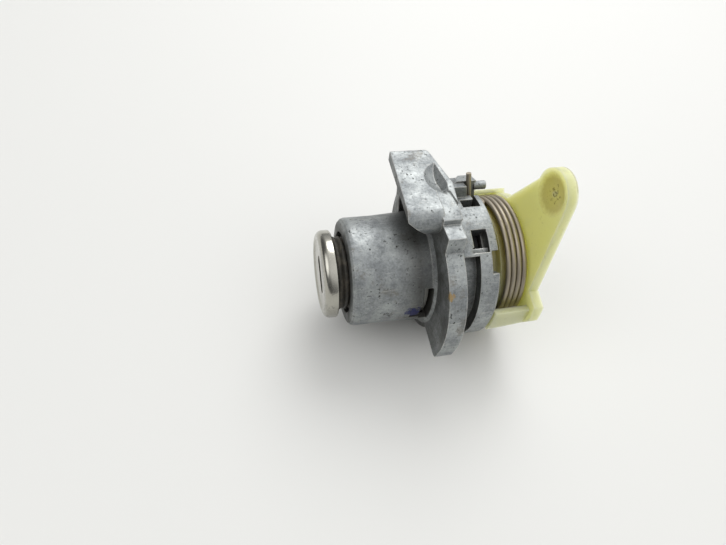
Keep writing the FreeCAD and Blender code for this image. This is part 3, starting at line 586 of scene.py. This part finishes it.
def nylon_depth(tree, place, clouds, sideways):
    """Colour by how thick the nylon is: the hub deep, a tone that also paints the shade behind the coil, and
    the tabs, walls and low end pale.
    """
    parts = split(tree, place)
    away = from_axis(tree, place)
    inner = past(tree, away, (HUB_R, HUB_R - HUB_BLUR))
    outer = past(tree, away, (HUB_R, HUB_R + HUB_BLUR))
    ahead = past(tree, parts["X"], PLATE_FRONT_X)
    low_end = times(tree, past(tree, parts["Z"], LOW_END_Z), LOW_END_STRENGTH)
    cloudy = times(tree, clouds, CLOUD_STRENGTH)
    shade = mix(tree, cloudy, NYLON_TONE, darker(NYLON_TONE, CLOUD_SHADE))
    # The hub's deep tone also paints the shade that falls behind the coil.
    shade = mix(tree, times(tree, inner, ahead), shade, NYLON_DEEP)
    shade = mix(tree, times(tree, outer, ahead, THIN_STRENGTH), shade, NYLON_PALE)
    shade = mix(tree, low_end, shade, NYLON_PALE)
    return mix(tree, times(tree, sideways, outer, THIN_STRENGTH), shade, NYLON_PALE)


print("the hub's colour fades over", HUB_BLUR, "mm")

# %% Nylon: specks in the dish and a painted shade line


def nylon_dirt_and_shade(tree, place, specks, sideways):
    """Mask of the fine specks, the dirt at the dish's middle and a painted shade line at the boss's rear
    edge.
    """
    parts = split(tree, place)
    middle = spot(tree, place, DISH_CENTRE, DISH_MIDDLE_R, ragged=0.7)
    crumbs = patches(tree, place, 1500.0, low=0.48, high=0.56, detail=4.0, roughness=0.7, most=0.8)
    # The line at the boss's rear edge is painted shade.
    painted_line = [past(tree, parts[axis], ends) for axis, ends in (("X", PAINTED_LINE_X), ("Y", PAINTED_LINE_Y), ("Z", PAINTED_LINE_Z))]
    dark = maths(tree, "MAXIMUM", specks, times(tree, crumbs, middle))
    return maths(tree, "MAXIMUM", dark, times(tree, *painted_line, sideways, PAINTED_LINE_STRENGTH))


print("the seam is", PAINTED_LINE_X[0], "mm along the axis")

# %% Nylon: the whole finish


def nylon(name):
    material, tree, shader = new_material(name)
    place = object_place(tree)
    clouds = patches(tree, place, 120.0, low=0.3, high=0.7)
    sideways = span(tree, maths(tree, "ABSOLUTE", facing(tree)["X"]), *FACING_SIDEWAYS)
    specks = use(tree, pits_group, Place=place, Scale=1100.0, Amount=0.12)
    shade = nylon_depth(tree, place, clouds, sideways)
    dish = spot(tree, place, DISH_CENTRE, DISH_R, ragged=0.05)
    shade = mix(tree, times(tree, dish, DISH_STRENGTH), shade, NYLON_DEEP)
    # Dirt in the dish and the painted shade line at the boss's rear edge.
    darkening = nylon_dirt_and_shade(tree, place, specks["Mask"], sideways)
    shade = mix(tree, darkening, shade, darker(NYLON_DEEP, DIRT_AND_SHADE_DARKNESS))
    edge = use(tree, edges_group, Radius=0.4 * MM, Reach=0.2)
    shade = mix(tree, times(tree, edge["Mask"], THIN_STRENGTH), shade, NYLON_PALE)
    feed(tree, shader, "Base Color", shade)
    feed(tree, shader, "Roughness", span(tree, clouds, 0.0, 1.0, *NYLON_ROUGHNESS))
    shader.inputs["Subsurface Weight"].default_value = 1.0
    shader.inputs["Subsurface Radius"].default_value = SCATTER_REACH
    shader.inputs["Subsurface Scale"].default_value = SCATTER_SCALE
    normal = bumped(tree, specks["Height"], edge["Normal"], strength=0.15, distance=0.06 * MM)
    feed(tree, shader, "Normal", normal)
    return material


lever_nylon = nylon("lever_nylon")
print("nylon", len(lever_nylon.node_tree.nodes), "nodes")

# %% [markdown]
# Rubber and black plastic
#
# Both are dark and matt, and what tells them apart is dust: the seal stands outside and is nearly half
# covered, and the ring inside the collar is almost clean. The dust is paler and rougher than what it lies
# on.

# %% Rubber and black plastic
MATT_ROUGHNESS = (0.55, 0.8)


def dark_matt(name, colour, dust, dust_share):
    material, tree, shader = new_material(name)
    place = object_place(tree)
    film = patches(tree, place, 600.0, low=0.45, high=0.7, detail=4.0, roughness=0.65)
    feed(tree, shader, "Base Color", mix(tree, times(tree, film, dust_share), colour, dust))
    feed(tree, shader, "Roughness", span(tree, film, 0.0, 1.0, *MATT_ROUGHNESS))
    pits = use(tree, pits_group, Place=place, Scale=2200.0, Amount=0.4)
    edge = use(tree, edges_group, Radius=0.2 * MM, Reach=0.3)
    normal = bumped(tree, pits["Height"], edge["Normal"], strength=0.25, distance=0.06 * MM)
    feed(tree, shader, "Normal", normal)
    return material


seal_rubber = dark_matt("seal_rubber", tint(56, 54, 48), tint(140, 132, 116), 0.45)
black_nylon = dark_matt("black_nylon", tint(26, 26, 27), tint(90, 86, 80), 0.15)
print("matt", len(seal_rubber.node_tree.nodes), "nodes")

# %% [markdown]
# Giving each solid its finish
#
# The record names a material slot for each solid, so one table from slot to finish dresses them all. The
# shoe is the one exception, because it has its own dab of paint. A solid keeps its mesh: only its
# materials change.

# %% Finishes by slot
finishes = {
    "zinc_casting": zinc_casting, "plug_zinc": plug_zinc, "sleeve_zinc": sleeve_zinc,
    "polished_steel": polished_steel, "steel_sheet": steel_sheet,
    "spring_wire": spring_wire, "bronze_wire": bronze_wire, "wafer_brass": wafer_brass,
    "seal_rubber": seal_rubber, "black_nylon": black_nylon, "lever_nylon": lever_nylon,
}
for row in frame["record"]["subparts"]:
    mesh = frame["nodes"][row["node"]].data
    mesh.materials.clear()
    mesh.materials.append(painted_shoe if row["node"] == "detent_shoe" else finishes[row["material_slot"]])

# %% [markdown]
# The return spring
#
# The solid of the spring has flat-sided wire, which shows at once on a shiny metal. The new one follows
# the same path with round wire: down the front leg, four turns, out along the rear leg. The path is a
# curve, and a small Geometry Nodes tree sweeps a circle along it, because a swept wire follows its path
# by itself.

# %% Wire along a path, by Geometry Nodes


def wire_tree(name, material):
    """Tree that sweeps a circle along a curve, with the identifiers of its two size inputs."""
    tree = bpy.data.node_groups.new(name, "GeometryNodeTree")
    sockets = tree.interface
    sockets.new_socket("Geometry", in_out="INPUT", socket_type="NodeSocketGeometry")
    thick = sockets.new_socket("Wire radius", in_out="INPUT", socket_type="NodeSocketFloat")
    sides = sockets.new_socket("Sides", in_out="INPUT", socket_type="NodeSocketInt")
    sockets.new_socket("Geometry", in_out="OUTPUT", socket_type="NodeSocketGeometry")
    given = add(tree, "NodeGroupInput").outputs
    ring = add(tree, "GeometryNodeCurvePrimitiveCircle", {"Resolution": given["Sides"],
                                                          "Radius": given["Wire radius"]})
    sweep = add(tree, "GeometryNodeCurveToMesh", {"Curve": given["Geometry"], "Fill Caps": True,
                                                  "Profile Curve": ring.outputs["Curve"]})
    smooth = add(tree, "GeometryNodeSetShadeSmooth", {"Geometry": sweep.outputs["Mesh"]})
    real = add(tree, "GeometryNodeRealizeInstances", {"Geometry": smooth.outputs["Geometry"]})
    paint = add(tree, "GeometryNodeSetMaterial", {"Geometry": real.outputs["Geometry"], "Material": material})
    add(tree, "NodeGroupOutput", {"Geometry": paint.outputs["Geometry"]})
    return tree, thick.identifier, sides.identifier


coil_tree, wire_radius_input, sides_input = wire_tree("return_coil_wire", bronze_wire)
print("wire tree", len(coil_tree.nodes), "nodes")

# %% From a path to a plain mesh


def curve_through(name, points):
    data = bpy.data.curves.new(name, "CURVE")
    data.dimensions = "3D"
    spline = data.splines.new("POLY")
    spline.points.add(len(points) - 1)
    for point, place in zip(spline.points, points):
        point.co = (*place, 1.0)
    carrier = bpy.data.objects.new(name, data)
    scene.collection.objects.link(carrier)
    return carrier


def plain_mesh(name, source):
    """The evaluated source as a plain mesh object, with the source removed."""
    bpy.context.view_layer.update()
    evaluated = source.evaluated_get(bpy.context.evaluated_depsgraph_get())
    mesh = bpy.data.meshes.new_from_object(evaluated)
    mesh.name = name
    bpy.data.objects.remove(source)
    piece = bpy.data.objects.new(name, mesh)
    scene.collection.objects.link(piece)
    return piece


# %% [markdown]
# Sizes of the return spring
#
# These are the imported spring's own sizes, in millimetres and degrees, so the round wire lies where the
# flat-sided one does. The front leg stands beside the housing's lug and runs up its slot in the collar.
# The rear leg stands against the end of the lever's top tab. Angles are counted about the axis, from the
# top.

# %% Return spring: its sizes
WIRE_R = 0.5
WIRE_SIDES = 20
COIL_R = 12.8
COIL_PITCH = 1.1
COIL_TURNS = 4
COIL_END_X = 17.68
TURN_STEPS = 72
BEND_R = 1.1
BEND_STEPS = 8
LUG_ANGLE = -19.0
LEG_ASIDE = 0.25
COLLAR_R = 15.4
LEG_FOOT_X = 9.4
LEG_TIP_X = 8.55
LEG_TIP_R = 19.7
TAB_END_ANGLE = -72.0
TAB_INNER_R = 13.6
TAB_GAP = 0.05
REAR_TIP_R = 15.0
FRONT_LEG_ANGLE = LUG_ANGLE + math.degrees(math.asin(LEG_ASIDE / COLLAR_R))
REAR_LEG_ANGLE = TAB_END_ANGLE - math.degrees(math.asin((WIRE_R + TAB_GAP) / TAB_INNER_R))
print("legs at %.1f and %.1f degrees" % (FRONT_LEG_ANGLE, REAR_LEG_ANGLE))

# %% Return spring: its path


def around(x, r, angle):
    """A point at a radius and an angle about the lock's axis, counted from +Z towards -Y, in millimetres."""
    a = math.radians(angle)
    return Vector((x, -r * math.sin(a), r * math.cos(a)))


def eased(before, corner, after):
    """Points of an arc that rounds a corner."""
    a = (before - corner).normalized()
    b = (after - corner).normalized()
    half = a.angle(b) / 2
    centre = corner + (a + b).normalized() * (BEND_R / math.sin(half))
    first = corner + a * (BEND_R / math.tan(half)) - centre
    last = corner + b * (BEND_R / math.tan(half)) - centre
    return [centre + first.slerp(last, k / BEND_STEPS) for k in range(BEND_STEPS + 1)]


def spring_path():
    """Front leg, coil and rear leg in one run, in metres."""
    sweep = 360 * COIL_TURNS + FRONT_LEG_ANGLE - REAR_LEG_ANGLE
    start_x = COIL_END_X - COIL_PITCH * sweep / 360
    ease = math.degrees(BEND_R / COIL_R)
    steps = round((sweep - 2 * ease) / 360 * TURN_STEPS)
    coil = []
    for step in range(steps + 1):
        turned = ease + (sweep - 2 * ease) * step / steps
        coil.append(around(start_x + COIL_PITCH * turned / 360, COIL_R, FRONT_LEG_ANGLE - turned))
    tip = around(LEG_TIP_X, LEG_TIP_R, FRONT_LEG_ANGLE)
    foot = around(LEG_FOOT_X, COIL_R, FRONT_LEG_ANGLE)
    front = around(start_x, COIL_R, FRONT_LEG_ANGLE)
    rear = around(COIL_END_X, COIL_R, REAR_LEG_ANGLE)
    rear_tip = around(COIL_END_X, REAR_TIP_R, REAR_LEG_ANGLE)
    points = [tip] + eased(tip, foot, front) + eased(foot, front, coil[0])[:-1]
    points += coil + eased(coil[-1], rear, rear_tip)[1:] + [rear_tip]
    return [p * MM for p in points]


coil_points = spring_path()
print("spring path of", len(coil_points), "points")

# %% Return spring
path = curve_through("return_coil_path", coil_points)
sweeper = path.modifiers.new("wire", "NODES")
sweeper.node_group = coil_tree
sweeper[wire_radius_input] = WIRE_R * MM
sweeper[sides_input] = WIRE_SIDES
spring = plain_mesh("return_coil", path)
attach(spring, "housing_body")
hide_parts("return_spring")
print("return coil", len(spring.data.polygons), "faces")

# %% [markdown]
# The face cap and the seal
#
# Both are turned shapes: one profile spun about the axis. The cap's rim is rolled, so its profile is
# drawn as a smooth run of points with a soft shoulder, and a keyway-shaped tool then cuts the slot. The
# seal's ribs are a wave along its profile. Where each of them starts and ends along the axis comes from
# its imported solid.

# %% Spin a profile about the lock's axis
ON_AXIS = 1e-6
MERGE_WITHIN = 1e-7


def spun(name, profile, sides, material):
    """Closed ring from (x, r) points in millimetres."""
    shape = bmesh.new()
    rings = []
    for x, r in profile:
        if r < ON_AXIS:
            rings.append([shape.verts.new((x * MM, 0, 0))])
            continue
        angles = [2 * math.pi * k / sides for k in range(sides)]
        rings.append([shape.verts.new((x * MM, r * MM * math.sin(a), r * MM * math.cos(a))) for a in angles])
    for first, second in zip(rings, rings[1:]):
        for k in range(sides):
            corners = [first[k % len(first)], first[(k + 1) % len(first)],
                       second[(k + 1) % len(second)], second[k % len(second)]]
            corners = list(dict.fromkeys(corners))
            if len(corners) > 2:
                shape.faces.new(corners)
    bmesh.ops.remove_doubles(shape, verts=shape.verts, dist=MERGE_WITHIN)
    bmesh.ops.recalc_face_normals(shape, faces=shape.faces)
    mesh = bpy.data.meshes.new(name)
    shape.to_mesh(mesh)
    shape.free()
    mesh.materials.append(material)
    piece = bpy.data.objects.new(name, mesh)
    scene.collection.objects.link(piece)
    return piece


def soften(piece, crease_angle):
    """Smooth shading, with the edges sharper than an angle kept crisp."""
    for polygon in piece.data.polygons:
        polygon.use_smooth = True
    piece.data.set_sharp_from_angle(angle=math.radians(crease_angle))


print("a point within", ON_AXIS, "mm of the axis becomes a pole")

# %% Face cap: its profile
cap_low, cap_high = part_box("face_cap")
CAP_FRONT_X = cap_low.x / MM
CAP_REAR_X = cap_high.x / MM
CAP_R = 8.8
CAP_WALL = 0.5
CAP_RIM_R = 1.35
CAP_RIM_START = 174
CAP_HEM_R = 0.35
CAP_DISH = 0.3
CAP_SHOULDER = [(CAP_DISH, 2.1), (0.25, 1.85), (0.1, 1.6)]
RIM_STEPS = 12
HEM_STEPS = 5
HEAD_R = 8.25
MOUTH_R = 7.3


def arc(x, r, radius, start, end, steps):
    """Profile points on a circle about (x, r), angles in degrees from +X towards +r."""
    angles = [math.radians(start + (end - start) * k / steps) for k in range(steps + 1)]
    return [(x + radius * math.cos(a), r + radius * math.sin(a)) for a in angles]


inner_x = CAP_FRONT_X + CAP_DISH + CAP_WALL
hem_x = CAP_REAR_X - CAP_WALL
cap_profile = [(CAP_FRONT_X + CAP_DISH, 0.0)]
cap_profile += [(CAP_FRONT_X + back, CAP_R - inset) for back, inset in CAP_SHOULDER]
cap_profile += arc(CAP_FRONT_X + CAP_RIM_R, CAP_R - CAP_RIM_R, CAP_RIM_R, CAP_RIM_START, 90, RIM_STEPS)
cap_profile += arc(CAP_REAR_X - CAP_HEM_R, CAP_R - CAP_HEM_R, CAP_HEM_R, 90, 0, HEM_STEPS)
cap_profile += [(CAP_REAR_X, MOUTH_R), (hem_x, MOUTH_R), (hem_x, HEAD_R), (inner_x, HEAD_R), (inner_x, 0.0)]
print("cap profile of", len(cap_profile), "points")

# %% Face cap: the tool for its slot
KEYWAY_ANGLE = -52.0
KEYWAY_WIDTH = 2.6
KEYWAY_HEIGHT = 7.6
TOOL_REACH = 1.0
ROUND_END_STEPS = 12


def slot_tool(x0, x1):
    """Bar with round ends, turned to the keyway's angle."""
    half = KEYWAY_WIDTH / 2
    ring = []
    for k in range(ROUND_END_STEPS + 1):
        a = math.pi * k / ROUND_END_STEPS
        ring.append((half * math.cos(a), KEYWAY_HEIGHT / 2 - half + half * math.sin(a)))
    ring += [(-y, -z) for y, z in ring]
    turn = Matrix.Rotation(math.radians(KEYWAY_ANGLE), 3, "X")
    shape = bmesh.new()
    ends = [[shape.verts.new(turn @ Vector((x, y, z)) * MM) for y, z in ring] for x in (x0, x1)]
    shape.faces.new(ends[0])
    shape.faces.new(list(reversed(ends[1])))
    for k in range(len(ring)):
        after = (k + 1) % len(ring)
        shape.faces.new([ends[0][k], ends[1][k], ends[1][after], ends[0][after]])
    bmesh.ops.recalc_face_normals(shape, faces=shape.faces)
    mesh = bpy.data.meshes.new("slot_tool")
    shape.to_mesh(mesh)
    shape.free()
    tool = bpy.data.objects.new("slot_tool", mesh)
    scene.collection.objects.link(tool)
    return tool


tool = slot_tool(CAP_FRONT_X - TOOL_REACH, CAP_FRONT_X + TOOL_REACH)
print("slot tool", len(tool.data.polygons), "faces")

# %% Face cap
CAP_SIDES = 128

cap = spun("steel_cap", cap_profile, CAP_SIDES, polished_steel)
cutter = cap.modifiers.new("slot", "BOOLEAN")
cutter.operation = "DIFFERENCE"
cutter.object = tool
cutter.solver = "EXACT"
cap = plain_mesh("steel_cap", cap)
bpy.data.objects.remove(tool)
soften(cap, crease_angle=35)
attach(cap, "plug_body")
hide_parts("face_cap")
print("cap", len(cap.data.polygons), "faces")

# %% Neck seal
seal_low, seal_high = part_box("neck_seal")
SEAL_FRONT_X = seal_low.x / MM
SEAL_REAR_X = seal_high.x / MM
SEAL_CREST_R = 7.35
SEAL_VALLEY_R = 6.85
SEAL_BORE_R = 6.5
SEAL_RIBS = 4
SEAL_STEPS = 40
SEAL_SIDES = 96
RIB_ROUNDNESS = 0.6

seal_profile = []
for step in range(SEAL_STEPS + 1):
    along = step / SEAL_STEPS
    wave = abs(math.sin(math.pi * SEAL_RIBS * along)) ** RIB_ROUNDNESS
    seal_profile.append((SEAL_FRONT_X + (SEAL_REAR_X - SEAL_FRONT_X) * along,
                         SEAL_VALLEY_R + (SEAL_CREST_R - SEAL_VALLEY_R) * wave))
seal_profile += [(SEAL_REAR_X, SEAL_BORE_R), (SEAL_FRONT_X, SEAL_BORE_R), seal_profile[0]]
seal = spun("ribbed_seal", seal_profile, SEAL_SIDES, seal_rubber)
soften(seal, crease_angle=50)
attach(seal, "plug_body")
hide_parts("neck_seal")
print("seal", len(seal.data.polygons), "faces")

# %% [markdown]
# Floor and light
#
# The lock lies on a pale sheet. A broad soft lamp above and behind makes the faces that look up bright.
# Polished metal shows its surround, so the surround isn't plain: it is pale above and greyer below,
# brighter on the right, dark on the side where the camera is held and in one corner of the room, and it
# has one bright window. Each of those patches is written as its direction, the likeness to it where the
# patch starts and where it is full, its strength and its tone. What the camera sees past the sheet is an
# even pale tone, because the patches are only there to be reflected.

# %% Floor
FLOOR_GAP = 0.055 * MM
FLOOR_SIZE = 3.0
PAPER_TONE = tint(224, 224, 221)
PAPER_ROUGHNESS = 0.6

bpy.ops.mesh.primitive_plane_add(size=FLOOR_SIZE, location=(0, 0, cad_box[0].z - FLOOR_GAP))
floor = bpy.context.object
floor.name = "floor"
paper, tree, shader = new_material("floor_paper")
shader.inputs["Base Color"].default_value = PAPER_TONE
shader.inputs["Roughness"].default_value = PAPER_ROUGHNESS
floor.data.materials.append(paper)
print("floor at %.2f mm" % (floor.location.z / MM))

# %% Light: the surround
LOW_TONE = tint(150, 151, 152)
HIGH_TONE = tint(255, 255, 255)
BACKDROP_TONE = tint(250, 250, 248)
SURROUND_STRENGTH = 0.95
LOW_AND_HIGH = (0.0, 0.85)
LEFT_AND_RIGHT = (-0.9, 0.7)
LEFT_SHADE = 0.45
RIGHT_SHADE = 1.45
CAMERA_SIDE = ((-0.3, -0.95, 0.1), 0.75, 0.95, 0.7, tint(70, 70, 68))
DIM_CORNER = ((-0.6, 0.62, 0.5), 0.8, 0.95, 0.8, tint(90, 90, 90))
WINDOW = ((-0.72, -0.1, 0.69), 0.88, 0.98, 1.0, (2.2, 2.2, 2.2, 1.0))

world = bpy.data.worlds.new("surround")
scene.world = world
world.use_nodes = True
tree = world.node_tree
sky = tree.nodes["Background"]
looking = add(tree, "ShaderNodeTexCoord").outputs["Generated"]
parts = split(tree, looking)
sky_colour = mix(tree, span(tree, parts["Z"], *LOW_AND_HIGH), LOW_TONE, HIGH_TONE)
sideways = span(tree, parts["X"], *LEFT_AND_RIGHT, LEFT_SHADE, RIGHT_SHADE)
sky_colour = mix(tree, 1.0, sky_colour, sideways, "MULTIPLY")
for direction, start, full, strength, tone in (CAMERA_SIDE, DIM_CORNER, WINDOW):
    nearness = add(tree, "ShaderNodeVectorMath", {0: looking, 1: direction}, operation="DOT_PRODUCT")
    patch = span(tree, nearness.outputs["Value"], start, full, 0.0, strength)
    sky_colour = mix(tree, patch, sky_colour, tone)
seen = add(tree, "ShaderNodeLightPath").outputs["Is Camera Ray"]
feed(tree, sky, "Color", mix(tree, seen, sky_colour, BACKDROP_TONE))
sky.inputs["Strength"].default_value = SURROUND_STRENGTH
print("surround", len(tree.nodes), "nodes")

# %% Light: the lamp
LAMP_PLACE = Vector((0.15, 0.31, 0.42))
LAMP_SIZE = 0.36
LAMP_POWER = 1.2

lamp = bpy.data.lights.new("overhead", "AREA")
lamp.shape = "DISK"
lamp.size = LAMP_SIZE
lamp.energy = LAMP_POWER
bulb = bpy.data.objects.new("overhead", lamp)
scene.collection.objects.link(bulb)
bulb.location = LAMP_PLACE
bulb.rotation_euler = (-LAMP_PLACE).to_track_quat("-Z", "Y").to_euler()
scene.view_settings.view_transform = "Standard"
print("the lamp is %.2f m away" % LAMP_PLACE.length)
